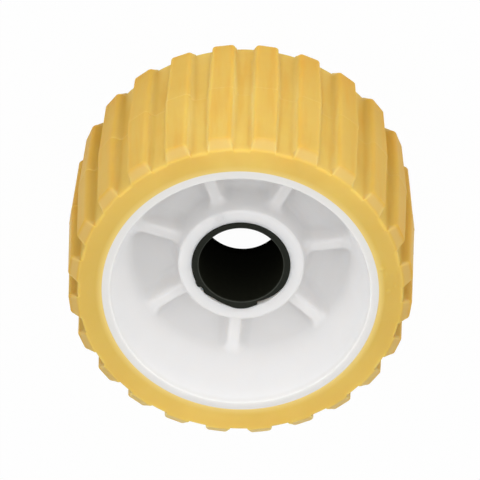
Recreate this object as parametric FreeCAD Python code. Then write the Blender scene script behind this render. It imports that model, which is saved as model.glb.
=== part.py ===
import FreeCAD, Part
import math
import os

# Boat trailer roller: a ribbed rubber tyre moulded on a plastic hub, with a
# plain bush pressed into the hub's bore. It stands on one end.
# Millimetres. +Z runs up the roller's axis, and the origin is on the axis at
# the lower end face, so the middle of the width is at half the roller width.

Vector = FreeCAD.Vector

# Overall sizes
roller_width = 73.0
tyre_diameter = 120.65
tyre_wall = 12.825

# Shaft and bush
shaft_diameter = 28.575
shaft_clearance = 0.65
bush_wall = 2.5
bush_length = 36.8
bush_edge_chamfer = 0.4

# Chip pared off the bush's outer edge at the upper end
chip_start_angle = 113.0
chip_end_angle = 152.0
chip_width = 1.4
chip_depth = 3.0

# Hub
boss_wall = 4.75
boss_draft_angle = 2.0
boss_edge_radius = 0.9
boss_root_radius = 3.0
web_thickness = 6.0
rim_wall = 2.85
rim_edge_radius = 0.4
bowl_draft_angle = 14.5
bowl_root_share = 0.59

# Gusset ribs of the hub, the same on both sides of the web
rib_count = 7
rib_first_angle = 86.8
rib_crest_width = 4.0
rib_crest_drop = 6.85
rib_draft_angle = 9.0
rib_edge_radius = 1.0

# Tread of the tyre
lug_count = 24
lug_first_angle = 8.45
lug_height = 3.3
lug_crest_width = 8.5
lug_flank_angle = 6.0
lug_side_draft_angle = 0.6
lug_edge_radius = 0.8
lug_end_chamfer = 3.5
lug_root_depth = 2.0
tread_draft_angle = 1.95
tyre_end_radius = 1.0
mould_mismatch_angle = 0.22

# Sizes that follow from the ones above
middle_height = roller_width / 2
bore_radius = (shaft_diameter + shaft_clearance) / 2
bush_radius = bore_radius + bush_wall
boss_radius = bush_radius + boss_wall
boss_half_length = bush_length / 2
hub_radius = tyre_diameter / 2 - tyre_wall
rim_inner_radius = hub_radius - rim_wall
web_half = web_thickness / 2
rib_crest_height = boss_half_length - rib_crest_drop
crest_radius = tyre_diameter / 2
floor_radius = crest_radius - lug_height
tread_fall = math.tan(math.radians(tread_draft_angle)) * middle_height


def rounded_face(corners):
    # Closed outline in the XZ plane. Each corner is x, z and its rounding.
    points = [Vector(x, 0, z) for x, z, rounding in corners]
    arcs = []
    for index, (x, z, rounding) in enumerate(corners):
        corner = points[index]
        back = (points[index - 1] - corner).normalize()
        ahead = (points[(index + 1) % len(points)] - corner).normalize()
        half_angle = back.getAngle(ahead) / 2
        reach = rounding / math.tan(half_angle)
        inward = (back + ahead).normalize() if rounding else back
        middle = corner + inward * (rounding / math.sin(half_angle) - rounding)
        arcs.append((corner + back * reach, middle, corner + ahead * reach))
    edges = []
    for index, (start, middle, end) in enumerate(arcs):
        if corners[index][2]:
            edges.append(Part.Arc(start, middle, end).toShape())
        next_start = arcs[(index + 1) % len(arcs)][0]
        edges.append(Part.LineSegment(end, next_start).toShape())
    return Part.Face(Part.Wire(edges))


def mirrored(corners):
    # Adds the lower half of an outline that is drawn from its inside upwards
    return corners + [(x, -z, rounding) for x, z, rounding in reversed(corners)]


def turned(corners):
    # Solid of revolution about the roller's axis, set at the middle of the width
    solid = rounded_face(corners).revolve(Vector(0, 0, 0), Vector(0, 0, 1), 360)
    solid.translate(Vector(0, 0, middle_height))
    return solid


def around_axis(shape, angle):
    copy = shape.copy()
    copy.rotate(Vector(0, 0, 0), Vector(0, 0, 1), angle)
    return copy


# Bush: a plain tube, flush with the boss at both ends
def make_bush():
    chamfer = bush_edge_chamfer
    tube = turned(mirrored([
        (bore_radius, boss_half_length - chamfer, 0),
        (bore_radius + chamfer, boss_half_length, 0),
        (bush_radius - chamfer, boss_half_length, 0),
        (bush_radius, boss_half_length - chamfer, 0),
    ]))
    return tube.cut(make_chip())


# The chip is widest at its first angle and runs out to nothing at its last
def make_chip():
    steps = 6
    outside = bush_radius + chip_width
    outline = []
    for step in range(steps + 1):
        share = step / steps
        radius = bush_radius - chip_width * (1 - share)
        outline.append((radius, chip_start_angle + (chip_end_angle - chip_start_angle) * share))
    outline.append((outside, chip_end_angle))
    outline.append((outside, chip_start_angle))
    bottom = middle_height + boss_half_length - chip_depth
    points = []
    for radius, angle in outline:
        turn = math.radians(angle)
        points.append(Vector(radius * math.cos(turn), radius * math.sin(turn), bottom))
    face = Part.Face(Part.makePolygon(points + points[:1]))
    return face.extrude(Vector(0, 0, 2 * chip_depth))


# Hub: rim, bowl, web and boss turned in one, with ribs on both sides of the web.
# The bowl's root is rounded over a share of the web's width.
def make_hub():
    boss_root = boss_radius + math.tan(math.radians(boss_draft_angle)) * (boss_half_length - web_half)
    bowl_root = bowl_radius_at(web_half)
    bowl_root_radius = bowl_root_share * (bowl_root - boss_root)
    body = turned(mirrored([
        (bush_radius, boss_half_length, 0),
        (boss_radius, boss_half_length, boss_edge_radius),
        (boss_root, web_half, boss_root_radius),
        (bowl_root, web_half, bowl_root_radius),
        (rim_inner_radius, middle_height, rim_edge_radius),
        (hub_radius, middle_height, 0),
    ]))
    rib = make_rib()
    ribs = [around_axis(rib, rib_first_angle + 360 / rib_count * number) for number in range(rib_count)]
    return body.fuse(ribs).removeSplitter()


def bowl_radius_at(height):
    return rim_inner_radius - math.tan(math.radians(bowl_draft_angle)) * (middle_height - height)


# One rib along +X, from inside the boss's wall to inside the bowl's wall
def make_rib():
    crest = rib_crest_width / 2
    root = crest + math.tan(math.radians(rib_draft_angle)) * rib_crest_height
    section = rounded_face([
        (crest, rib_crest_height, rib_edge_radius),
        (root, 0, 0),
        (crest, -rib_crest_height, rib_edge_radius),
        (-crest, -rib_crest_height, rib_edge_radius),
        (-root, 0, 0),
        (-crest, rib_crest_height, rib_edge_radius),
    ])
    inner_end = (bush_radius + boss_radius) / 2
    outer_end = (bowl_radius_at(rib_crest_height) + hub_radius) / 2
    section.rotate(Vector(0, 0, 0), Vector(0, 0, 1), 90)
    section.translate(Vector(inner_end, 0, middle_height))
    return section.extrude(Vector(outer_end - inner_end, 0, 0))


# Tyre: a band that carries the groove floors, with a ring of lugs on each half
def make_tyre():
    floor_end = floor_radius - tread_fall
    band = turned([
        (hub_radius, -middle_height, 0),
        (floor_end, -middle_height, tyre_end_radius),
        (floor_radius, 0, 0),
        (floor_end, middle_height, tyre_end_radius),
        (hub_radius, middle_height, 0),
    ])
    upper_lug = make_lug()
    lower_lug = upper_lug.mirror(Vector(0, 0, middle_height), Vector(0, 0, 1))
    lugs = []
    for number in range(lug_count):
        angle = lug_first_angle + 360 / lug_count * number
        lugs.append(around_axis(upper_lug, angle))
        lugs.append(around_axis(lower_lug, angle - mould_mismatch_angle))
    return band.fuse(lugs).removeSplitter()


# Upper half of one lug, along +X: it tapers with the mould's draft and its end is bevelled
def make_lug():
    side_fall = math.tan(math.radians(lug_side_draft_angle)) * middle_height
    middle = lug_outline(0, lug_crest_width, 0)
    end = lug_outline(tread_fall, lug_crest_width - 2 * side_fall, middle_height)
    lug = Part.makeLoft([middle, end], True, True)
    lug.translate(Vector(0, 0, middle_height))
    return lug.cut(make_lug_bevel())


# Section of a lug across the axis, sunk by the draft's fall and set at a height
def lug_outline(fall, crest_width, height):
    top = crest_radius - fall
    foot = floor_radius - fall - lug_root_depth
    crest = crest_width / 2
    root = crest + math.tan(math.radians(lug_flank_angle)) * (top - foot)
    outline = rounded_face([
        (crest, top, lug_edge_radius),
        (root, foot, 0),
        (-root, foot, 0),
        (-crest, top, lug_edge_radius),
    ]).OuterWire
    outline.rotate(Vector(0, 0, 0), Vector(1, 0, 0), -90)
    outline.rotate(Vector(0, 0, 0), Vector(0, 0, 1), -90)
    outline.translate(Vector(0, 0, height))
    return outline


# Wedge outside the bevel, which falls at 45 degrees from the crest to the end face
def make_lug_bevel():
    bevel_start = middle_height - lug_end_chamfer
    crest_there = crest_radius - tread_fall * bevel_start / middle_height
    excess = 2 * lug_end_chamfer
    wedge = Part.Face(Part.makePolygon([
        Vector(crest_there + lug_end_chamfer, 0, bevel_start - lug_end_chamfer),
        Vector(crest_there - excess, 0, bevel_start + excess),
        Vector(crest_there + excess, 0, bevel_start + excess),
        Vector(crest_there + lug_end_chamfer, 0, bevel_start - lug_end_chamfer),
    ]))
    wedge.translate(Vector(0, -tyre_diameter / 2, middle_height))
    return wedge.extrude(Vector(0, tyre_diameter, 0))


os.makedirs("parts", exist_ok=True)
pieces = {"tyre": make_tyre(), "hub": make_hub(), "bush": make_bush()}
for name, piece in pieces.items():
    piece.exportStep("parts/" + name + ".step")
    print(name, "valid", piece.isValid(), "solids", len(piece.Solids), "volume", round(piece.Volume))
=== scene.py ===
import math

import bpy
import numpy as np
from mathutils import Matrix, Vector


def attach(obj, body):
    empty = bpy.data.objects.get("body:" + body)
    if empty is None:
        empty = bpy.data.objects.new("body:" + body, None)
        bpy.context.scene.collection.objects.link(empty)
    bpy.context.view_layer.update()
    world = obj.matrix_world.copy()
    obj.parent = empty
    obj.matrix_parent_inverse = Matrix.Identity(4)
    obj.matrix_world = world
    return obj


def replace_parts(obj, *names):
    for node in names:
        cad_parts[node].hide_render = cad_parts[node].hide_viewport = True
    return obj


# Boat trailer roller: amber rubber tyre, white plastic hub, black bush.
# Shapes are worked out in millimetres and turned to metres in gridPiece.

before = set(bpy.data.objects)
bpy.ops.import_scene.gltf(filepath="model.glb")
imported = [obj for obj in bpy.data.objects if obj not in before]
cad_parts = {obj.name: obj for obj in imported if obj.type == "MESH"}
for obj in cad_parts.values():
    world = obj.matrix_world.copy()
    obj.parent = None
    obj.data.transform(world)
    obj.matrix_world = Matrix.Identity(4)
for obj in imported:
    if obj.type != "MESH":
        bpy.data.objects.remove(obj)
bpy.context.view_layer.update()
millimetre = 0.001
midHeight = 36.5       # half the roller's width


def toLinear(hexColour):
    # sRGB hex to the linear colour that shaders take
    parts = [int(hexColour[i:i + 2], 16) / 255 for i in (1, 3, 5)]
    return tuple(c / 12.92 if c <= 0.04045 else ((c + 0.055) / 1.055) ** 2.4 for c in parts) + (1.0,)


def addNode(tree, kind, settings=None, links=None):
    # settings: a property's name or an input's name to its value; links: input's name to an output socket
    node = tree.nodes.new(kind)
    for key, value in (settings or {}).items():
        if isinstance(key, str) and hasattr(node, key):
            setattr(node, key, value)
        else:
            node.inputs[key].default_value = value
    for key, socket in (links or {}).items():
        tree.links.new(socket, node.inputs[key])
    return node


def newMaterial(name):
    material = bpy.data.materials.new(name)
    material.use_nodes = True
    material.node_tree.nodes.clear()
    return material, material.node_tree


def roundCorner(start, corner, end, steps):
    # Points of a rounded corner, both ends included: start and end lie on its two sides
    start, corner, end = (np.array(p, float) for p in (start, corner, end))
    one, two = start - corner, end - corner
    cosine = one @ two / (np.linalg.norm(one) * np.linalg.norm(two))
    weight = math.sqrt((1 - cosine) / 2)
    s = np.linspace(0, 1, steps + 1)[:, None]
    a, b, c = (1 - s) ** 2, 2 * weight * s * (1 - s), s ** 2
    return (a * start + b * corner + c * end) / (a + b + c)


def gridPiece(name, grid, material, normals=None):
    # A grid of points in millimetres, closed both ways round, becomes one mesh of quads
    rows, columns = grid.shape[:2]
    index = np.arange(rows * columns).reshape(rows, columns)
    across = np.roll(index, -1, axis=1)
    quads = np.stack([index, across, np.roll(across, -1, axis=0), np.roll(index, -1, axis=0)], axis=-1)
    points = grid.reshape(-1, 3) * millimetre
    corners = points[quads.reshape(-1, 4)]
    volume = (np.cross(corners[:, 1], corners[:, 2]) * corners[:, 0]).sum()
    if volume < 0:     # the faces would look inwards
        quads = quads[..., ::-1]
    mesh = bpy.data.meshes.new(name)
    mesh.from_pydata(points.tolist(), [], quads.reshape(-1, 4).tolist())
    mesh.materials.append(material)
    mesh.shade_smooth()
    if normals is not None:
        mesh.normals_split_custom_set_from_vertices(normals.reshape(-1, 3).tolist())
    piece = bpy.data.objects.new(name, mesh)
    bpy.context.scene.collection.objects.link(piece)
    return piece


# Camera, fitted to the photograph
camera = {
    "place": (0.000625, -0.790682, 1.389839),
    "tilt": 30.313,        # degrees from straight down
    "roll": 181.75,
    "lens": 336.41,
    "sensor": 36,
    "farthest": 20,        # metres
}


def makeCamera():
    data = bpy.data.cameras.new("camera")
    data.lens = camera["lens"]
    data.sensor_width = camera["sensor"]
    data.clip_end = camera["farthest"]
    holder = bpy.data.objects.new("camera", data)
    turn = Matrix.Rotation(math.radians(camera["tilt"]), 4, "X")
    turn = turn @ Matrix.Rotation(math.radians(camera["roll"]), 4, "Z")
    holder.matrix_world = Matrix.Translation(camera["place"]) @ turn
    bpy.context.scene.collection.objects.link(holder)
    bpy.context.scene.camera = holder
    print("camera made")


# Studio: pale walls lit all round, a ceiling that is brighter on the camera's side, and a strip lamp
# low there. Lengths are in metres.
studio = {
    "roomColour": "#FFFFFF",
    "wallLight": (0.65, 1.78),  # at the foot of the walls and over them
    "wallFoot": (0.12, 0.28),  # sine of the elevation over which the foot gives way to the wall
    "wallTop": (0.40, 0.64),   # sine of the elevation over which the walls give way to the ceiling
    "ceilingLight": (0.65, 1.06),    # at the ceiling's edge and straight overhead
    "frontLight": 1.05,        # by how much the ceiling brightens towards the camera's side
    "keyPower": 2.2,
    "keySize": (1.0, 0.16),    # a strip, wide and low
    "keyPlace": (-0.05, -1.1, 0.1),
    "floorColour": "#C2C2C2",
    "floorHalf": 2.0,
    "floorWhite": 0.98,        # share of the floor that shows as plain white
}


def makeLamp(name, power, size, place, target):
    data = bpy.data.lights.new(name, "AREA")
    data.energy = power
    data.shape = "RECTANGLE"
    data.size, data.size_y = size
    lamp = bpy.data.objects.new(name, data)
    lamp.location = place
    lamp.rotation_euler = (Vector(target) - Vector(place)).to_track_quat("-Z", "Y").to_euler()
    bpy.context.scene.collection.objects.link(lamp)


def seenDirectly(tree):
    # 1 for what the camera sees straight, in a reflection or through the object
    path = addNode(tree, "ShaderNodeLightPath")
    some = addNode(tree, "ShaderNodeMath", {"operation": "MAXIMUM"},
                   {0: path.outputs["Is Camera Ray"], 1: path.outputs["Is Glossy Ray"]})
    return addNode(tree, "ShaderNodeMath", {"operation": "MAXIMUM"},
                   {0: some.outputs[0], 1: path.outputs["Is Transmission Ray"]}).outputs[0]


def makeStudio():
    world = bpy.data.worlds.new("studio room")
    bpy.context.scene.world = world
    world.use_nodes = True
    tree = world.node_tree
    tree.nodes.clear()
    place = addNode(tree, "ShaderNodeTexCoord")
    split = addNode(tree, "ShaderNodeSeparateXYZ", None, {0: place.outputs["Generated"]})
    ceiling = addNode(tree, "ShaderNodeMapRange",
                      {"From Min": studio["wallTop"][1], "To Min": studio["ceilingLight"][0],
                       "To Max": studio["ceilingLight"][1]}, {"Value": split.outputs[2]})
    front = addNode(tree, "ShaderNodeMath", {"operation": "MULTIPLY_ADD", 1: -studio["frontLight"]},
                    {0: split.outputs[1], 2: ceiling.outputs[0]})
    above = addNode(tree, "ShaderNodeMath", {"operation": "MAXIMUM", 1: 0.0}, {0: front.outputs[0]})
    wall = addNode(tree, "ShaderNodeMapRange",
                   {"interpolation_type": "SMOOTHSTEP", "From Min": studio["wallFoot"][0],
                    "From Max": studio["wallFoot"][1], "To Min": studio["wallLight"][0],
                    "To Max": studio["wallLight"][1]}, {"Value": split.outputs[2]})
    room = addNode(tree, "ShaderNodeMapRange",
                   {"interpolation_type": "SMOOTHSTEP", "From Min": studio["wallTop"][0],
                    "From Max": studio["wallTop"][1]},
                   {"Value": split.outputs[2], "To Min": wall.outputs[0], "To Max": above.outputs[0]})
    strength = addNode(tree, "ShaderNodeMapRange", {"To Max": 1.0},
                       {"Value": seenDirectly(tree), "To Min": room.outputs[0]})
    background = addNode(tree, "ShaderNodeBackground", {"Color": toLinear(studio["roomColour"])},
                         {"Strength": strength.outputs[0]})
    addNode(tree, "ShaderNodeOutputWorld", None, {"Surface": background.outputs[0]})

    mesh = bpy.data.meshes.new("floor")
    half = studio["floorHalf"]
    corners = [(-half, -half, 0), (half, -half, 0), (half, half, 0), (-half, half, 0)]
    mesh.from_pydata(corners, [], [(0, 1, 2, 3)])
    floor = bpy.data.objects.new("floor", mesh)
    bpy.context.scene.collection.objects.link(floor)
    material, tree = newMaterial("painted studio floor")
    paint = addNode(tree, "ShaderNodeBsdfDiffuse", {"Color": toLinear(studio["floorColour"])})
    white = addNode(tree, "ShaderNodeEmission", {"Color": (1, 1, 1, 1), "Strength": 1.0})
    share = addNode(tree, "ShaderNodeMath", {"operation": "MULTIPLY", 1: studio["floorWhite"]},
                    {0: seenDirectly(tree)})
    mix = addNode(tree, "ShaderNodeMixShader", None,
                  {0: share.outputs[0], 1: paint.outputs[0], 2: white.outputs[0]})
    addNode(tree, "ShaderNodeOutputMaterial", None, {"Surface": mix.outputs[0]})
    mesh.materials.append(material)

    target = (0, 0, midHeight * millimetre)
    makeLamp("key lamp", studio["keyPower"], studio["keySize"], studio["keyPlace"], target)
    print("studio made")


# Amber thermoplastic rubber, injection moulded and left as it comes from the mould: a soft satin
# with a little light passing through it, so edges and lugs glow, and faint cloudy flow marks.
# A tint reaches its share over a span, two distances in millimetres: from the roller's axis,
# or from the middle of the width where the name says end or seam.
rubber = {
    "light": "#E9C96C",
    "deep": "#E0BC60",
    "cloudSize": 22.0,          # millimetres across a flow mark
    "cloudSpan": (0.3, 0.7),    # values of the noise that are fully deep and fully light
    "crest": "#D9B156",         # painted shade: the lugs' crests are a little darker, evening out the light they catch over the grooves
    "crestShadeShare": 0.4,
    "crestShadeSpan": (59.3, 60.0),
    "flank": "#F6DA7E",         # painted light: the lugs' sides are paler, lifting the shade at their feet
    "flankLightShare": 0.5,
    "flankLightFoot": (57.1, 57.6),
    "flankLightTop": (59.8, 59.0),
    "flankLightEnd": (34.0, 33.0),
    "sidesDeeper": "#C9AC58",          # the two opposite sides, along X, are deeper
    "sidesDeeperShare": 0.5,
    "low": "#C99B38",           # painted shade: the tread is darker towards the floor, where less light reaches it, and more so on the two deeper sides
    "floorShadeShare": 0.45,
    "floorShadeHeights": (50, 5),      # millimetres over the floor
    "floorShadeAtSides": 1.5,           # how much of the sides' share comes on top
    "floorShadeSpan": (55.5, 56.5),
    "bevel": "#D5C088",         # painted sheen: the bevels at the lugs' ends are paler, a highlight that they catch
    "bevelSheenShare": 0.4,
    "bevelSheenEnd": (33.0, 34.2),
    "bevelSheenSpan": (55.9, 56.6),
    "hubBounceLight": "#EBCD7C",       # painted light: the thin edge at the hub is paler, for light that the white hub throws on it
    "hubBounceLightSpan": (49.8, 47.5),
    "seam": "#EFD88C",          # so is the line where the mould's halves meet
    "seamShare": 0.25,
    "seamSpan": (0.3, 0.1),
    "streak": "#D89C34",        # richer streaks run across the tread, along the way it left the mould
    "streakShare": 0.42,
    "streakSize": 3.5,          # millimetres across a streak
    "streakStretch": 0.1,       # its width as a share of its length
    "streakValues": (0.44, 0.72),    # values of the noise at which a streak starts and is full
    "streakSpan": (55.3, 56.3),
    "streakEnd": (35.0, 32.5),
    "roughness": 0.46,
    "uneven": (-0.06, 0.08),    # by how much the roughness varies
    "grain": 0.35,              # millimetres, the mould's blasted grain, drawn coarse enough to show
    "grainHeight": 0.012,
    "grainStrength": 0.5,
    "waves": 9.0,               # millimetres across a shallow wave of the surface
    "waveHeight": 0.25,
    "waveStrength": 0.15,
    "gloss": 0.08,              # low, since 0.5 is a plain plastic
    "depth": 3.5,               # millimetres that light travels inside
    "depthByColour": (1.0, 0.85, 0.6),    # and its share for red, green and blue
    "solidAtHub": (47.6, 49.5),    # no light travels inside at the hub, whose own plastic is there
}


def axisRadius(tree, place):
    # Distance from the roller's axis, and the node that gives x, y and z
    split = addNode(tree, "ShaderNodeSeparateXYZ", None, {0: place.outputs["Object"]})
    flat = addNode(tree, "ShaderNodeCombineXYZ", None, {"X": split.outputs[0], "Y": split.outputs[1]})
    length = addNode(tree, "ShaderNodeVectorMath", {"operation": "LENGTH"}, {0: flat.outputs[0]})
    return length.outputs["Value"], split


def shareBetween(tree, distance, span, most=1.0):
    # Rises from 0 to the most over a span in millimetres. The most is a number or another share.
    settings = {"From Min": span[0] * millimetre, "From Max": span[1] * millimetre}
    links = {"Value": distance}
    if isinstance(most, float):
        settings["To Max"] = most
    else:
        links["To Max"] = most
    return addNode(tree, "ShaderNodeMapRange", settings, links).outputs[0]


def rubberTints(tree, place, radius, split):
    # The share of each tint, in the order in which they are laid over the cloudy ground
    fromSeam = addNode(tree, "ShaderNodeMath", {"operation": "SUBTRACT", 1: midHeight * millimetre},
                       {0: split.outputs[2]})
    fromSeam = addNode(tree, "ShaderNodeMath", {"operation": "ABSOLUTE"}, {0: fromSeam.outputs[0]}).outputs[0]
    # The radius with the tread's fall towards the ends taken out
    tread = addNode(tree, "ShaderNodeMath", {"operation": "MULTIPLY_ADD", 1: tyre["fall"] / midHeight},
                    {0: fromSeam, 2: radius}).outputs[0]
    # deeper towards the two sides along X
    side = addNode(tree, "ShaderNodeMath", {"operation": "DIVIDE"}, {0: split.outputs[0], 1: radius})
    side = addNode(tree, "ShaderNodeMath", {"operation": "MULTIPLY"},
                   {0: side.outputs[0], 1: side.outputs[0]})
    sidesDeeper = addNode(tree, "ShaderNodeMath", {"operation": "MULTIPLY", 1: rubber["sidesDeeperShare"]},
                   {0: side.outputs[0]}).outputs[0]
    # painted shade on the tread towards the floor
    low = shareBetween(tree, split.outputs[2], rubber["floorShadeHeights"], rubber["floorShadeShare"])
    low = addNode(tree, "ShaderNodeMath", {"operation": "MULTIPLY_ADD", 1: rubber["floorShadeAtSides"]},
                  {0: sidesDeeper, 2: low}).outputs[0]
    drawn = addNode(tree, "ShaderNodeVectorMath",
                    {"operation": "MULTIPLY", 1: (1.0, 1.0, rubber["streakStretch"])},
                    {0: place.outputs["Object"]})
    streak = addNode(tree, "ShaderNodeTexNoise",
                     {"Scale": 1 / (rubber["streakSize"] * millimetre), "Detail": 3.0},
                     {"Vector": drawn.outputs[0]})
    weak, strong = rubber["streakValues"]
    streak = addNode(tree, "ShaderNodeMapRange",
                     {"From Min": weak, "From Max": strong, "To Max": rubber["streakShare"]},
                     {"Value": streak.outputs[0]}).outputs[0]
    # painted light on the lugs' sides, fading out towards the ends
    flank = shareBetween(tree, fromSeam, rubber["flankLightEnd"], rubber["flankLightShare"])
    flank = shareBetween(tree, tread, rubber["flankLightTop"], flank)
    # painted sheen on the bevels at the lugs' ends
    bevel = shareBetween(tree, fromSeam, rubber["bevelSheenEnd"], rubber["bevelSheenShare"])
    streak = shareBetween(tree, fromSeam, rubber["streakEnd"], streak)
    return {
        # painted shade on the lugs' crests
        "crest": shareBetween(tree, tread, rubber["crestShadeSpan"], rubber["crestShadeShare"]),
        "flank": shareBetween(tree, tread, rubber["flankLightFoot"], flank),
        "sidesDeeper": sidesDeeper,
        "low": shareBetween(tree, radius, rubber["floorShadeSpan"], low),
        "bevel": shareBetween(tree, radius, rubber["bevelSheenSpan"], bevel),
        # painted light from the white hub on the tyre's edge
        "hubBounceLight": shareBetween(tree, radius, rubber["hubBounceLightSpan"]),
        "seam": shareBetween(tree, fromSeam, rubber["seamSpan"], rubber["seamShare"]),
        "streak": shareBetween(tree, radius, rubber["streakSpan"], streak),
    }


def makeRubber():
    material, tree = newMaterial("amber moulded thermoplastic rubber")
    place = addNode(tree, "ShaderNodeTexCoord")
    radius, split = axisRadius(tree, place)
    clouds = addNode(tree, "ShaderNodeTexNoise",
                     {"Scale": 1 / (rubber["cloudSize"] * millimetre), "Detail": 3.0, "Roughness": 0.55},
                     {"Vector": place.outputs["Object"]})
    low, high = rubber["cloudSpan"]
    spread = addNode(tree, "ShaderNodeMapRange", {"From Min": low, "From Max": high},
                     {"Value": clouds.outputs[0]})
    tint = addNode(tree, "ShaderNodeMixRGB",
                   {"Color1": toLinear(rubber["deep"]), "Color2": toLinear(rubber["light"])},
                   {"Fac": spread.outputs[0]})
    for colour, share in rubberTints(tree, place, radius, split).items():
        tint = addNode(tree, "ShaderNodeMixRGB", {"Color2": toLinear(rubber[colour])},
                       {"Fac": share, "Color1": tint.outputs[0]})
    grain = addNode(tree, "ShaderNodeTexNoise",
                    {"Scale": 1 / (rubber["grain"] * millimetre), "Detail": 2.0},
                    {"Vector": place.outputs["Object"]})
    waves = addNode(tree, "ShaderNodeTexNoise",
                    {"Scale": 1 / (rubber["waves"] * millimetre), "Detail": 1.0},
                    {"Vector": place.outputs["Object"]})
    soft = addNode(tree, "ShaderNodeBump",
                   {"Strength": rubber["waveStrength"], "Distance": rubber["waveHeight"] * millimetre},
                   {"Height": waves.outputs[0]})
    fine = addNode(tree, "ShaderNodeBump",
                   {"Strength": rubber["grainStrength"], "Distance": rubber["grainHeight"] * millimetre},
                   {"Height": grain.outputs[0], "Normal": soft.outputs[0]})
    less, more = rubber["uneven"]
    sheen = addNode(tree, "ShaderNodeMapRange",
                    {"To Min": rubber["roughness"] + less, "To Max": rubber["roughness"] + more},
                    {"Value": grain.outputs[0]})
    surface = addNode(tree, "ShaderNodeBsdfPrincipled",
                      {"IOR": 1.48, "Specular IOR Level": rubber["gloss"],
                       "Subsurface Radius": rubber["depthByColour"],
                       "Subsurface Scale": rubber["depth"] * millimetre},
                      {"Base Color": tint.outputs[0], "Roughness": sheen.outputs[0],
                       "Normal": fine.outputs[0],
                       "Subsurface Weight": shareBetween(tree, radius, rubber["solidAtHub"])})
    addNode(tree, "ShaderNodeOutputMaterial", None, {"Surface": surface.outputs[0]})
    print("rubber made")
    return material


# White polypropylene, injection moulded: a waxy satin white, slightly see-through, with faint sink marks
hubPlastic = {
    "white": "#F1F0F0",
    "shade": "#EBEAE9",
    "cloudSize": 30.0,          # millimetres across a paler or duller patch
    "rim": "#E1DFDC",           # painted shade: the rim's edge is a little darker, toning down the light that its open top catches
    "rimShadeSpan": (44.0, 44.7),    # millimetres from the axis over which it sets in
    "roughness": 0.42,
    "uneven": (-0.05, 0.07),    # by how much the roughness varies
    "grain": 0.5,               # millimetres, the mould's fine grain, drawn coarse enough to show
    "grainHeight": 0.008,
    "grainStrength": 0.3,
    "sinkSize": 14.0,           # millimetres across a sink mark
    "sinkDepth": 0.4,
    "sinkStrength": 0.2,
    "scatter": 1.0,             # share of the light that spreads inside
    "depth": 4.2,               # millimetres that it travels there
    "depthByColour": (1.0, 0.95, 0.9),    # and its share for red, green and blue
    "solidAtTyre": (47.4, 45.6),    # no light travels inside where the rubber begins
}


def makeHubPlastic(name, scatter):
    material, tree = newMaterial(name)
    place = addNode(tree, "ShaderNodeTexCoord")
    clouds = addNode(tree, "ShaderNodeTexNoise",
                     {"Scale": 1 / (hubPlastic["cloudSize"] * millimetre), "Detail": 2.0},
                     {"Vector": place.outputs["Object"]})
    tint = addNode(tree, "ShaderNodeMixRGB",
                   {"Color1": toLinear(hubPlastic["shade"]), "Color2": toLinear(hubPlastic["white"])},
                   {"Fac": clouds.outputs[0]})
    radius = axisRadius(tree, place)[0]
    # painted shade on the rim's edge
    tint = addNode(tree, "ShaderNodeMixRGB", {"Color2": toLinear(hubPlastic["rim"])},
                   {"Fac": shareBetween(tree, radius, hubPlastic["rimShadeSpan"]), "Color1": tint.outputs[0]})
    grain = addNode(tree, "ShaderNodeTexNoise",
                    {"Scale": 1 / (hubPlastic["grain"] * millimetre), "Detail": 2.0},
                    {"Vector": place.outputs["Object"]})
    sink = addNode(tree, "ShaderNodeTexNoise",
                   {"Scale": 1 / (hubPlastic["sinkSize"] * millimetre), "Detail": 0.0},
                   {"Vector": place.outputs["Object"]})
    soft = addNode(tree, "ShaderNodeBump",
                   {"Strength": hubPlastic["sinkStrength"],
                    "Distance": hubPlastic["sinkDepth"] * millimetre},
                   {"Height": sink.outputs[0]})
    fine = addNode(tree, "ShaderNodeBump",
                   {"Strength": hubPlastic["grainStrength"],
                    "Distance": hubPlastic["grainHeight"] * millimetre},
                   {"Height": grain.outputs[0], "Normal": soft.outputs[0]})
    less, more = hubPlastic["uneven"]
    sheen = addNode(tree, "ShaderNodeMapRange",
                    {"To Min": hubPlastic["roughness"] + less, "To Max": hubPlastic["roughness"] + more},
                    {"Value": grain.outputs[0]})
    surface = addNode(tree, "ShaderNodeBsdfPrincipled",
                      {"IOR": 1.49, "Subsurface Radius": hubPlastic["depthByColour"],
                       "Subsurface Scale": hubPlastic["depth"] * millimetre},
                      {"Base Color": tint.outputs[0], "Roughness": sheen.outputs[0],
                       "Normal": fine.outputs[0],
                       "Subsurface Weight": shareBetween(tree, radius, hubPlastic["solidAtTyre"], scatter)})
    addNode(tree, "ShaderNodeOutputMaterial", None, {"Surface": surface.outputs[0]})
    print("hub plastic made")
    return material


# Black nylon, cut from extruded tube and pressed in: a dull charcoal end face with fine turning
# marks, a bore painted darker as painted shade inside the hole, and a chamfer painted paler as a painted
# highlight. Spans are in millimetres from the axis.
nylon = {
    "face": "#2E302B",
    "faceSpan": (14.62, 14.7),
    # painted shade: the bore is darker than the face, for the shade inside the hole
    "bore": "#20211A",
    "chamfer": "#484B45",         # painted highlight: the bore's chamfer is paler, where its edge catches the light
    "chamferHighlightFoot": (14.7, 14.8),
    "chamferHighlightTop": (15.05, 14.95),
    "mottle": 1.2,                # millimetres across a scuff
    "mottleShare": 0.35,
    "mottleDepth": 0.04,
    "mottleStrength": 0.3,
    "roughness": 0.5,
    "uneven": (-0.08, 0.1),       # by how much the roughness varies
    "gloss": 0.0,
    "turning": 0.25,              # millimetres between turning marks on the end face
    "turningDepth": 0.02,
    "turningStrength": 0.4,
}


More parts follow.
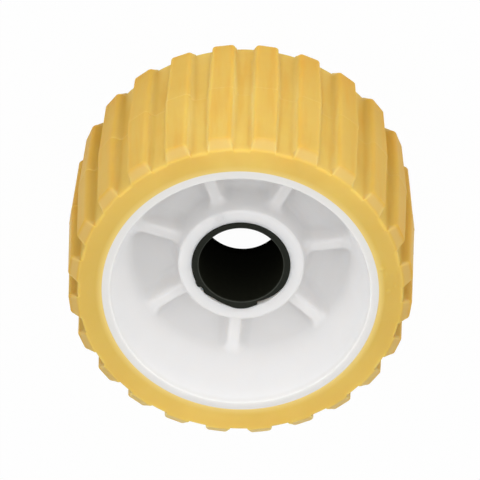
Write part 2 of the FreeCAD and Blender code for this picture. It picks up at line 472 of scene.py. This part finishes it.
def makeNylon():
    material, tree = newMaterial("black extruded nylon")
    place = addNode(tree, "ShaderNodeTexCoord")
    radius = axisRadius(tree, place)[0]
    rings = addNode(tree, "ShaderNodeTexNoise",
                    {"noise_dimensions": "1D", "Scale": 1 / (nylon["turning"] * millimetre), "Detail": 1.0},
                    {"W": radius})
    mottle = addNode(tree, "ShaderNodeTexNoise",
                     {"Scale": 1 / (nylon["mottle"] * millimetre), "Detail": 3.0},
                     {"Vector": place.outputs["Object"]})
    # painted shade in the bore
    tint = addNode(tree, "ShaderNodeMixRGB",
                   {"Color1": toLinear(nylon["bore"]), "Color2": toLinear(nylon["face"])},
                   {"Fac": shareBetween(tree, radius, nylon["faceSpan"])})
    # painted highlight on the bore's chamfer
    chamfer = shareBetween(tree, radius, nylon["chamferHighlightTop"])
    chamfer = shareBetween(tree, radius, nylon["chamferHighlightFoot"], chamfer)
    tint = addNode(tree, "ShaderNodeMixRGB", {"Color2": toLinear(nylon["chamfer"])},
                   {"Fac": chamfer, "Color1": tint.outputs[0]})
    worn = addNode(tree, "ShaderNodeMixRGB", {"blend_type": "MULTIPLY", "Fac": nylon["mottleShare"]},
                   {"Color1": tint.outputs[0], "Color2": mottle.outputs[0]})
    lift = addNode(tree, "ShaderNodeBump",
                   {"Strength": nylon["turningStrength"], "Distance": nylon["turningDepth"] * millimetre},
                   {"Height": rings.outputs[0]})
    scuffs = addNode(tree, "ShaderNodeBump",
                     {"Strength": nylon["mottleStrength"], "Distance": nylon["mottleDepth"] * millimetre},
                     {"Height": mottle.outputs[0], "Normal": lift.outputs[0]})
    less, more = nylon["uneven"]
    sheen = addNode(tree, "ShaderNodeMapRange",
                    {"To Min": nylon["roughness"] + less, "To Max": nylon["roughness"] + more},
                    {"Value": mottle.outputs[0]})
    surface = addNode(tree, "ShaderNodeBsdfPrincipled",
                      {"IOR": 1.53, "Specular IOR Level": nylon["gloss"]},
                      {"Base Color": worn.outputs[0], "Roughness": sheen.outputs[0],
                       "Normal": scuffs.outputs[0]})
    addNode(tree, "ShaderNodeOutputMaterial", None, {"Surface": surface.outputs[0]})
    print("nylon made")
    return material


# The tyre. Heights in its tables are measured down from an end face, as the depth.
tyre = {
    "crest": 60.325,         # radius over the lugs at the middle
    "floor": 57.025,         # radius of the groove floors there
    "fall": 1.243,           # how much smaller both are at the ends
    "lugs": 24,
    "firstLug": 8.45,        # degrees
    "lugWidth": 8.5,
    "sideDraft": 0.6,        # degrees, by which a lug narrows towards the ends
    "flank": 6.0,            # degrees
    "bevel": 3.5,
    "edgeReach": 1.25,       # how far the roundings run along their sides
    "rootReach": 1.4,
    "bevelReach": 0.35,      # at the bevel's top
    "footReach": 0.45,       # at its foot on the end face
    "endReach": 1.0,         # where a groove meets the end face
    "holeReach": 0.1,        # and round the hub
    "mismatch": 0.22,        # degrees between the two halves of the mould
    "flash": 0.09,           # height of the line where the halves meet
    "flashHalf": 0.25,       # half its width
    "wobble": 0.05,          # unevenness of the soft moulding
    # its waves: strength, how many go round, start in radians, and how they lean with the height
    "waves": [(1.0, 3, 1.1, 0.0), (0.7, 7, 2.3, 1.5), (0.6, 13, 0.4, -2.1), (0.4, 24, 0.0, 5.0)],
    "treadFrom": 54.0,       # radius from which the unevenness and the softness set in
    "softness": 0.6,         # share by which the tread's normals lean towards the radius
    "hole": 47.5,
    "dotWidth": 1.7,
    "dotHeight": 0.22,
    # small dots moulded on the upper end face: radius, and degrees round the roller
    "dots": [(49.3, 192.9), (50.1, 190.9), (53.3, 189.5), (53.0, 185.2), (50.6, 182.7)],
}


def crestAt(depth):
    return tyre["crest"] - tyre["fall"] * (midHeight - depth) / midHeight


def floorAt(depth):
    return tyre["floor"] - tyre["fall"] * (midHeight - depth) / midHeight


def lugSection(crest, floor, depth, halfPitch):
    # Half of a lug and half of a groove: across, outwards, and the share of the way down the flank
    slope = math.tan(math.radians(tyre["flank"]))
    side = math.tan(math.radians(tyre["sideDraft"])) * (midHeight - depth)
    half = tyre["lugWidth"] / 2 - side + slope * (crestAt(depth) - crest)
    root = half + slope * (crest - floor)
    for again in range(3):           # closer each time to where the flank meets the round floor
        low = math.sqrt(floor ** 2 - root ** 2)
        root = half + slope * (crest - low)
    top = np.array([half, crest])
    foot = np.array([root, low])
    length = np.linalg.norm(foot - top)
    down = (foot - top) / length
    along = np.array([low, -root]) / floor
    most = 0.45 * length             # so that neither rounding passes the flank's middle
    edge, inner = min(tyre["edgeReach"], most), min(tyre["rootReach"], most)
    flat = [(half - edge) * share for share in (0, 0.3, 0.6, 0.85)]
    points = [np.array([t, crest]) for t in flat]
    points += list(roundCorner(top - [edge, 0], top, top + down * edge, 4))
    start, end = top + down * edge, foot - down * inner
    points += [start + (end - start) * share for share in (0.33, 0.67)]
    arc = roundCorner(end, foot, foot + along * inner, 4)
    points += list(arc)
    angle = math.atan2(arc[-1][0], arc[-1][1])
    for share in (0.25, 0.5, 0.75, 1.0):
        turn = angle + (halfPitch - angle) * share
        points.append(np.array([floor * math.sin(turn), floor * math.cos(turn)]))
    points = np.array(points)
    share = np.clip((crest - points[:, 1]) / max(crest - low, 0.01), 0, 1)
    return points, share


def treadRows():
    # Each row: depth and radius of the lug's crest, depth and radius of the groove's floor
    bevel, crestThere = tyre["bevel"], crestAt(tyre["bevel"])
    foot = crestThere - bevel                    # radius at which the bevel meets the end face
    reach, diagonal = tyre["footReach"], math.sqrt(0.5)
    lugEnd = roundCorner((0, foot - reach), (0, foot), (reach * diagonal, foot + reach * diagonal), 5)
    reach = tyre["bevelReach"]
    lugTop = roundCorner((bevel - reach * diagonal, crestThere - reach * diagonal), (bevel, crestThere),
                         (bevel + reach, crestAt(bevel + reach)), 4)
    reach = tyre["endReach"]
    floorEnd = roundCorner((0, floorAt(0) - reach), (0, floorAt(0)), (reach, floorAt(reach)), 5)
    rows = [(*a, *b) for a, b in zip(lugEnd, floorEnd)]
    beside = 0.4                                 # how far the floor's rows keep from the bevel's top
    for share in (0.25, 0.5, 0.75):
        lug = lugEnd[-1] + (lugTop[0] - lugEnd[-1]) * share
        depth = reach + (bevel - beside - reach) * share
        rows.append((*lug, depth, floorAt(depth)))
    for number, lug in enumerate(lugTop):
        depth = bevel - beside + beside / 2 * number
        rows.append((*lug, depth, floorAt(depth)))
    for share in np.linspace(0, 1, 13)[1:]:
        depth = bevel + beside + (midHeight - tyre["flashHalf"] - bevel - beside) * share
        rows.append((depth, crestAt(depth), depth, floorAt(depth)))
    near = midHeight - 0.4 * tyre["flashHalf"]   # the flash's concave side
    rise = 0.2 * tyre["flash"]
    rows.append((near, crestAt(near) + rise, near, floorAt(near) + rise))
    return rows


def treadRow(row, turn, upper):
    # One closed ring of points round the tyre
    lugDepth, lugRadius, floorDepth, floorRadius = row
    pitch = 2 * math.pi / tyre["lugs"]
    half, share = lugSection(lugRadius, floorRadius, lugDepth, pitch / 2)
    depth = lugDepth + (floorDepth - lugDepth) * share
    across = np.concatenate([-half[:0:-1, 0], half[:-1, 0]])
    out = np.concatenate([half[:0:-1, 1], half[:-1, 1]])
    depth = np.concatenate([depth[:0:-1], depth[:-1]])
    ring = []
    for lug in range(tyre["lugs"]):
        angle = math.radians(tyre["firstLug"] + turn) + pitch * lug
        x = out * math.cos(angle) - across * math.sin(angle)
        y = out * math.sin(angle) + across * math.cos(angle)
        z = 2 * midHeight - depth if upper else depth
        ring.append(np.stack([x, y, z], axis=1))
    return np.concatenate(ring)


def endFace(outline, upper):
    # Rings from the hole's edge out to the first ring of the tread
    angle = np.arctan2(outline[:, 1], outline[:, 0])
    face = 2 * midHeight if upper else 0
    hole, reach = tyre["hole"], tyre["holeReach"]
    inward = -reach if upper else reach

    def circle(radius, z):
        return np.stack([radius * np.cos(angle), radius * np.sin(angle), np.full_like(angle, z)], axis=1)

    start = circle(hole + reach, face)
    rings = [circle(hole, face + inward), circle(hole + 0.3 * reach, face + inward / 3)]
    # The upper face has close rings, for the dots
    shares = np.linspace(0, 0.96, 32) if upper else (0, 0.2, 0.4, 0.6, 0.8, 0.93)
    rings += [start + (outline - start) * share for share in shares]
    return rings


def addDots(rings):
    for radius, turn in tyre["dots"]:
        x, y = radius * math.cos(math.radians(turn)), radius * math.sin(math.radians(turn))
        for ring in rings[2:]:
            away = np.hypot(ring[:, 0] - x, ring[:, 1] - y) / (tyre["dotWidth"] / 2)
            ring[:, 2] += tyre["dotHeight"] * np.clip(1 - away ** 2, 0, 1) ** 0.7
    return rings


def wobbled(grid):
    # Slow unevenness of the soft moulding, none at the end faces and the hole
    radius = np.hypot(grid[..., 0], grid[..., 1])
    angle = np.arctan2(grid[..., 1], grid[..., 0])
    height = (grid[..., 2] - midHeight) / midHeight
    wave = sum(strength * np.sin(count * angle + start + lean * height)
               for strength, count, start, lean in tyre["waves"])
    share = np.clip((radius - tyre["treadFrom"]) / 3, 0, 1) * tyre["wobble"] * wave / radius
    grid[..., 0] *= 1 + share
    grid[..., 1] *= 1 + share
    return grid


def softenTread(mesh):
    # The lugs' normals lean towards the radius, since the soft rubber blurs the shade on their flanks
    normals = np.empty(len(mesh.vertices) * 3, dtype=np.float32)
    mesh.vertex_normals.foreach_get("vector", normals)
    normals = normals.reshape(-1, 3)
    points = np.array([v.co[:] for v in mesh.vertices]) / millimetre
    radius = np.hypot(points[:, 0], points[:, 1])[:, None]
    outward = np.concatenate([points[:, :2] / radius, np.zeros_like(radius)], axis=1)
    share = tyre["softness"] * np.clip((radius - tyre["treadFrom"]) / 2, 0, 1)
    share = share * (1 - np.abs(normals[:, 2:]))
    normals = normals + share * (outward - normals)
    normals /= np.linalg.norm(normals, axis=1)[:, None]
    mesh.normals_split_custom_set_from_vertices(normals.tolist())


def makeTyre(material):
    rows = treadRows()
    upper = [treadRow(row, 0, True) for row in rows]
    lower = [treadRow(row, -tyre["mismatch"], False) for row in rows]
    flash = tyre["flash"]
    seam = (midHeight, crestAt(midHeight) + flash, midHeight, floorAt(midHeight) + flash)
    middle = treadRow(seam, -tyre["mismatch"] / 2, True)
    top = addDots(endFace(upper[0], True))
    grid = top + upper + [middle] + lower[::-1] + endFace(lower[0], False)[::-1]
    piece = gridPiece("roller_tyre", wobbled(np.array(grid)), material)
    softenTread(piece.data)
    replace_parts(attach(piece, "root"), "tyre")
    print("tyre made,", len(piece.data.polygons), "faces")


# The hub. Heights are measured from the middle of the width.
hub = {
    "boreRadius": 17.1125,
    "bossRadius": 21.8625,
    "bossHeight": 18.4,
    "bossDraft": 2.0,        # degrees
    "bossEdge": 0.9,
    "bossRoot": 3.0,
    "webHalf": 3.0,
    "rimRadius": 47.5,
    "rimInside": 44.65,
    "rimEdge": 0.4,
    "bowlDraft": 14.5,
    "bowlRoot": 8.0,
    "ribs": 7,
    "firstRib": 86.8,
    "ribHeight": 11.55,
    "ribHalf": 2.0,
    "ribDraft": 9.0,
    "ribEdge": 1.0,
    "ribRoot": 3.2,
    # from a rib's middle to its columns of points, which stand closest on its sides
    "ribColumns": [0, 0.45, 0.8, 1.1, 1.35, 1.58, 1.78, 1.95, 2.1, 2.24, 2.38, 2.52, 2.66, 2.8, 2.95, 3.12,
                   3.3, 3.5, 3.75, 4.05, 4.4, 4.8, 5.25, 5.8, 6.4, 7.1],
    "pocketColumns": 6,      # and from there to the middle of the pocket between two ribs
    "ribTopRings": (13.4, 11.0),    # heights between which the boss's rings stand close
    # the mark of a mould pin on the boss's upper face
    "pinRadius": 20.1,
    "pinAngle": 292.4,       # degrees
    "pinWidth": 2.8,
    "pinLine": 0.2,          # radius of the thin ring
}


def joined(a, b, radius):
    # Distance to two forms joined with a fillet
    u, v = np.maximum(radius - a, 0), np.maximum(radius - b, 0)
    return np.maximum(radius, np.minimum(a, b)) - np.hypot(u, v)


def shared(a, b, radius):
    # Distance to what two forms share, its edge rounded
    return -joined(-a, -b, radius)


def hubDistance(x, y, z):
    # Distance to the hub's upper surface, negative inside. A rib lies along +X.
    radius = np.hypot(x, y)
    bossDraft, bowlDraft, ribDraft = (math.radians(hub[k]) for k in ("bossDraft", "bowlDraft", "ribDraft"))
    wall = hub["bossRadius"] + math.tan(bossDraft) * (hub["bossHeight"] - z)
    boss = shared(z - hub["bossHeight"], (radius - wall) * math.cos(bossDraft), hub["bossEdge"])
    wall = hub["rimInside"] - math.tan(bowlDraft) * (midHeight - z)
    bowl = shared(z - midHeight, (wall - radius) * math.cos(bowlDraft), hub["rimEdge"])
    body = joined(joined(boss, z - hub["webHalf"], hub["bossRoot"]), bowl, hub["bowlRoot"])
    side = hub["ribHalf"] + math.tan(ribDraft) * (hub["ribHeight"] - z)
    rib = shared(z - hub["ribHeight"], (np.abs(y) - side) * math.cos(ribDraft), hub["ribEdge"])
    return joined(body, rib, hub["ribRoot"])


def hubDistanceAt(points):
    return hubDistance(*np.moveaxis(points, -1, 0))


def hubSlope(points):
    # The way in which the distance grows fastest, from a small step to either side along each axis
    step = 0.002
    slope = np.zeros_like(points)
    for axis in range(3):
        ahead, back = points.copy(), points.copy()
        ahead[..., axis] += step
        back[..., axis] -= step
        slope[..., axis] = (hubDistanceAt(ahead) - hubDistanceAt(back)) / (2 * step)
    return slope


def stretch(start, end, count):
    # Points from the start up to, but without, the end
    start, end = np.array(start), np.array(end)
    return [start + (end - start) * number / count for number in range(count)]


def hubProfile():
    # Radius and height of each ring between two ribs, from the bore's edge to the rim's edge
    boss, top, edge, root = hub["bossRadius"], hub["bossHeight"], hub["bossEdge"], hub["bossRoot"]
    web = hub["webHalf"]

    def wall(height):
        return (boss + math.tan(math.radians(hub["bossDraft"])) * (top - height), height)

    high, low = hub["ribTopRings"]
    rings = stretch((hub["boreRadius"] + 0.2, top), (boss - edge, top), 5)
    rings += list(roundCorner((boss - edge, top), (boss, top), wall(top - edge), 6))
    rings += stretch(wall(top - 2 * edge), wall(high), 3)
    rings += stretch(wall(high), wall(low), 10)
    rings += stretch(wall(low), wall(web + root), 6)
    foot = wall(web)[0]
    rings += list(roundCorner(wall(web + root), wall(web), (foot + root, web), 8))
    draft = math.radians(hub["bowlDraft"])
    up = np.array([math.sin(draft), math.cos(draft)])    # along the bowl's wall
    reach = hub["bowlRoot"] * math.tan(math.radians(45) - draft / 2)
    corner = np.array([hub["rimInside"] - math.tan(draft) * (midHeight - web), web])
    beside = 0.6                              # from the rounding's last ring to the next one
    rings += stretch((foot + root + beside, web), corner - [reach, 0], 12)
    rise = corner + reach * up
    rings += list(roundCorner(corner - [reach, 0], corner, rise, 12))[:-1]
    lip = np.array([hub["rimInside"], midHeight])
    middle = corner + (lip - corner) * 0.4    # the ribs end below it, so its rings stand closer
    rings += stretch(rise, middle, 18)
    reach = hub["rimEdge"] + 0.05             # a little past the rounding
    rings += stretch(middle, lip - (reach + 0.15) * up, 12)
    rings += list(roundCorner(lip - reach * up, lip, lip + [reach, 0], 4))
    rings += stretch(lip + [reach + 0.4, 0], (hub["rimRadius"] - 0.4, midHeight), 3)
    return np.array(rings)


def hubUpper():
    # One seventh of the upper side, round a rib, then turned to all seven
    rings = hubProfile()
    radius, height = rings[:, :1], rings[:, 1:]
    sector = math.pi / hub["ribs"]
    near = np.arcsin(np.array(hub["ribColumns"])[None, :] / radius)
    last = near[:, -1:]
    pocket = last + (sector - last) * np.linspace(0, 1, hub["pocketColumns"] + 1)[None, 1:]
    angle = np.concatenate([near, pocket], axis=1)
    angle = np.concatenate([-angle[:, :0:-1], angle[:, :-1]], axis=1)
    x, y = radius * np.cos(angle), radius * np.sin(angle)
    drop = np.clip((np.abs(y) - hub["ribHalf"]) / math.tan(math.radians(hub["ribDraft"])), 0, 20)
    points = np.stack([x, y, np.maximum(height, hub["ribHeight"] - drop)], axis=-1)
    # Each point then moves along the slope until it lies on the surface
    mostStep, leastSlope = 0.4, 0.2
    for again in range(14):
        slope = hubSlope(points)
        size = np.maximum((slope ** 2).sum(-1), leastSlope)
        move = -(hubDistanceAt(points) / size)[..., None] * slope
        points = points + np.clip(move, -mostStep, mostStep)
    normals = hubSlope(points)
    normals /= np.linalg.norm(normals, axis=-1, keepdims=True)
    grids, sides = [], []
    for rib in range(hub["ribs"]):
        turn = math.radians(hub["firstRib"]) + 2 * sector * rib
        cosine, sine = math.cos(turn), math.sin(turn)
        matrix = np.array([[cosine, sine, 0], [-sine, cosine, 0], [0, 0, 1]])
        grids.append(points @ matrix)
        sides.append(normals @ matrix)
    return np.concatenate(grids, axis=1), np.concatenate(sides, axis=1)


def makeHub(material):
    surface, normals = hubUpper()

    def ring(beside, radius, height, out, up):
        # A circle whose points stand at the angles of the ring beside it, with its normals
        angle = np.arctan2(beside[:, 1], beside[:, 0])
        around = np.stack([np.cos(angle), np.sin(angle)], axis=1)
        place = np.column_stack([around * radius, np.full(len(angle), height)])
        facing = np.column_stack([around * out, np.full(len(angle), float(up))])
        return place, facing / np.linalg.norm(facing[0])

    # The edges at the bore and outside the rim are rounded by only 0.1 to 0.25 mm
    bore, rim, top = hub["boreRadius"], hub["rimRadius"], hub["bossHeight"]
    inner, outer = surface[0], surface[-1]
    start = [ring(inner, bore, top - 6.4, -1, 0), ring(inner, bore, top - 0.25, -1, 0.2),
             ring(inner, bore + 0.08, top - 0.06, -1, 1)]
    end = [ring(outer, rim - 0.1, midHeight, 0.1, 1), ring(outer, rim - 0.03, midHeight - 0.04, 1, 1),
           ring(outer, rim, midHeight - 0.15, 1, 0)]
    upper = np.array([p for p, n in start] + list(surface) + [p for p, n in end])
    facing = np.array([n for p, n in start] + list(normals) + [n for p, n in end])
    flip = np.array([1, 1, -1])
    grid = np.concatenate([upper, (upper * flip)[::-1]])
    facing = np.concatenate([facing, (facing * flip)[::-1]])
    grid[..., 2] += midHeight
    piece = gridPiece("roller_hub", grid, material, facing)
    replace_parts(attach(piece, "root"), "hub")
    print("hub made,", len(piece.data.polygons), "faces")


def makePinMark(material):
    # A low ring, half sunk in the boss's face
    around = np.linspace(0, 2 * math.pi, 48, endpoint=False)
    across = np.linspace(0, 2 * math.pi, 12, endpoint=False)
    around, across = np.meshgrid(around, across)
    radius = hub["pinWidth"] / 2 + hub["pinLine"] * np.cos(across)
    turn = math.radians(hub["pinAngle"])
    x = hub["pinRadius"] * math.cos(turn) + radius * np.cos(around)
    y = hub["pinRadius"] * math.sin(turn) + radius * np.sin(around)
    z = midHeight + hub["bossHeight"] + hub["pinLine"] * np.sin(across)
    piece = gridPiece("roller_hub_pin_mark", np.stack([x, y, z], axis=-1), material)
    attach(piece, "root")
    print("pin mark made")


# The bush. Its outer edge at the upper end is ragged: flash where it was pressed in, and a chip.
bush = {
    "bore": 14.6125,
    "outside": 17.1,
    "halfLength": 18.4,
    "chamfer": 0.4,
    "edgeReach": 0.15,       # roundings of the chamfer's edges
    "notchDepth": 3.0,
    "flashLift": 0.12,       # how far the flash stands up, where it stands out by its reach or more
    "flashReach": 0.2,
    "columns": 720,
    # degrees round the roller, and the outer radius there
    "edge": [(0, 17.08), (24, 17.08), (26.5, 17.35), (30, 17.42), (32.5, 17.2), (34, 16.45), (38, 16.3),
             (40, 16.65), (42, 17.0), (46, 16.95), (51, 16.65), (57, 16.42), (64, 16.62), (72, 16.82),
             (78, 17.12), (82, 17.32), (88, 17.5), (95, 17.45), (100, 17.3), (106, 17.0), (111, 16.8),
             (113, 15.72), (120, 15.88), (130, 16.22), (140, 16.68), (151, 17.08), (360, 17.08)],
}


def makeBush(material):
    angle = np.linspace(0, 2 * math.pi, bush["columns"], endpoint=False)
    table = np.array(bush["edge"])
    edge = np.interp(np.degrees(angle), table[:, 0], table[:, 1])
    lift = bush["flashLift"] * np.clip((edge - bush["outside"]) / bush["flashReach"], 0, 1)
    end, bore, outside, chamfer = bush["halfLength"], bush["bore"], bush["outside"], bush["chamfer"]
    held = np.minimum(edge, outside)

    def ring(radius, height):
        radius, height = np.broadcast_to(radius, angle.shape), np.broadcast_to(height, angle.shape)
        return np.stack([radius * np.cos(angle), radius * np.sin(angle), height + midHeight], axis=1)

    reach, start = bush["edgeReach"], bore + chamfer + bush["edgeReach"]
    inside = [ring(bore, h) for h in (0, 6, 12, 17)]
    # The chamfer's lower edge at the bore, and its upper edge on the face
    mouth = roundCorner((bore, end - chamfer - 0.1), (bore + 0.05, end - chamfer + 0.05),
                        (bore + reach, end - chamfer + reach), 2)
    crown = roundCorner((bore + chamfer - 0.12, end - 0.12), (bore + chamfer, end), (start, end), 3)
    inside += [ring(r, h) for r, h in list(mouth) + list(crown)]
    # The face, which rises to the flash, and its rounded outer edge
    top = [ring(start + (edge - 0.25 - start) * share, end + lift * share) for share in (0.35, 0.7, 1.0)]
    top += [ring(edge - 0.09, end + lift - 0.03), ring(edge - 0.01, end + lift - 0.14),
            ring(edge, end + lift - 0.25)]
    deep = end - bush["notchDepth"]     # the bottom of the chip
    outer = [ring(held, end - 0.2), ring(held, end - 1.0), ring(held, deep),
             ring(outside, deep - 0.1), ring(outside, 0)]
    lower = [ring(outside, -end + chamfer), ring(outside - 0.12, -end + 0.12),
             ring(outside - chamfer, -end), ring(bore + chamfer + 0.1, -end),
             ring(bore + 0.3, -end + 0.1), ring(bore, -end + chamfer), ring(bore, -12), ring(bore, -6)]
    grid = np.array(inside + top + outer + lower)
    piece = gridPiece("roller_bush", grid, material)
    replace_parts(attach(piece, "root"), "bush")
    print("bush made,", len(piece.data.polygons), "faces")


bpy.context.scene.view_settings.view_transform = "Standard"
makeCamera()
makeStudio()
makeTyre(makeRubber())
makeHub(makeHubPlastic("white moulded polypropylene", hubPlastic["scatter"]))
makePinMark(makeHubPlastic("white moulded polypropylene, thin", 0.0))    # too thin for light to spread in
makeBush(makeNylon())
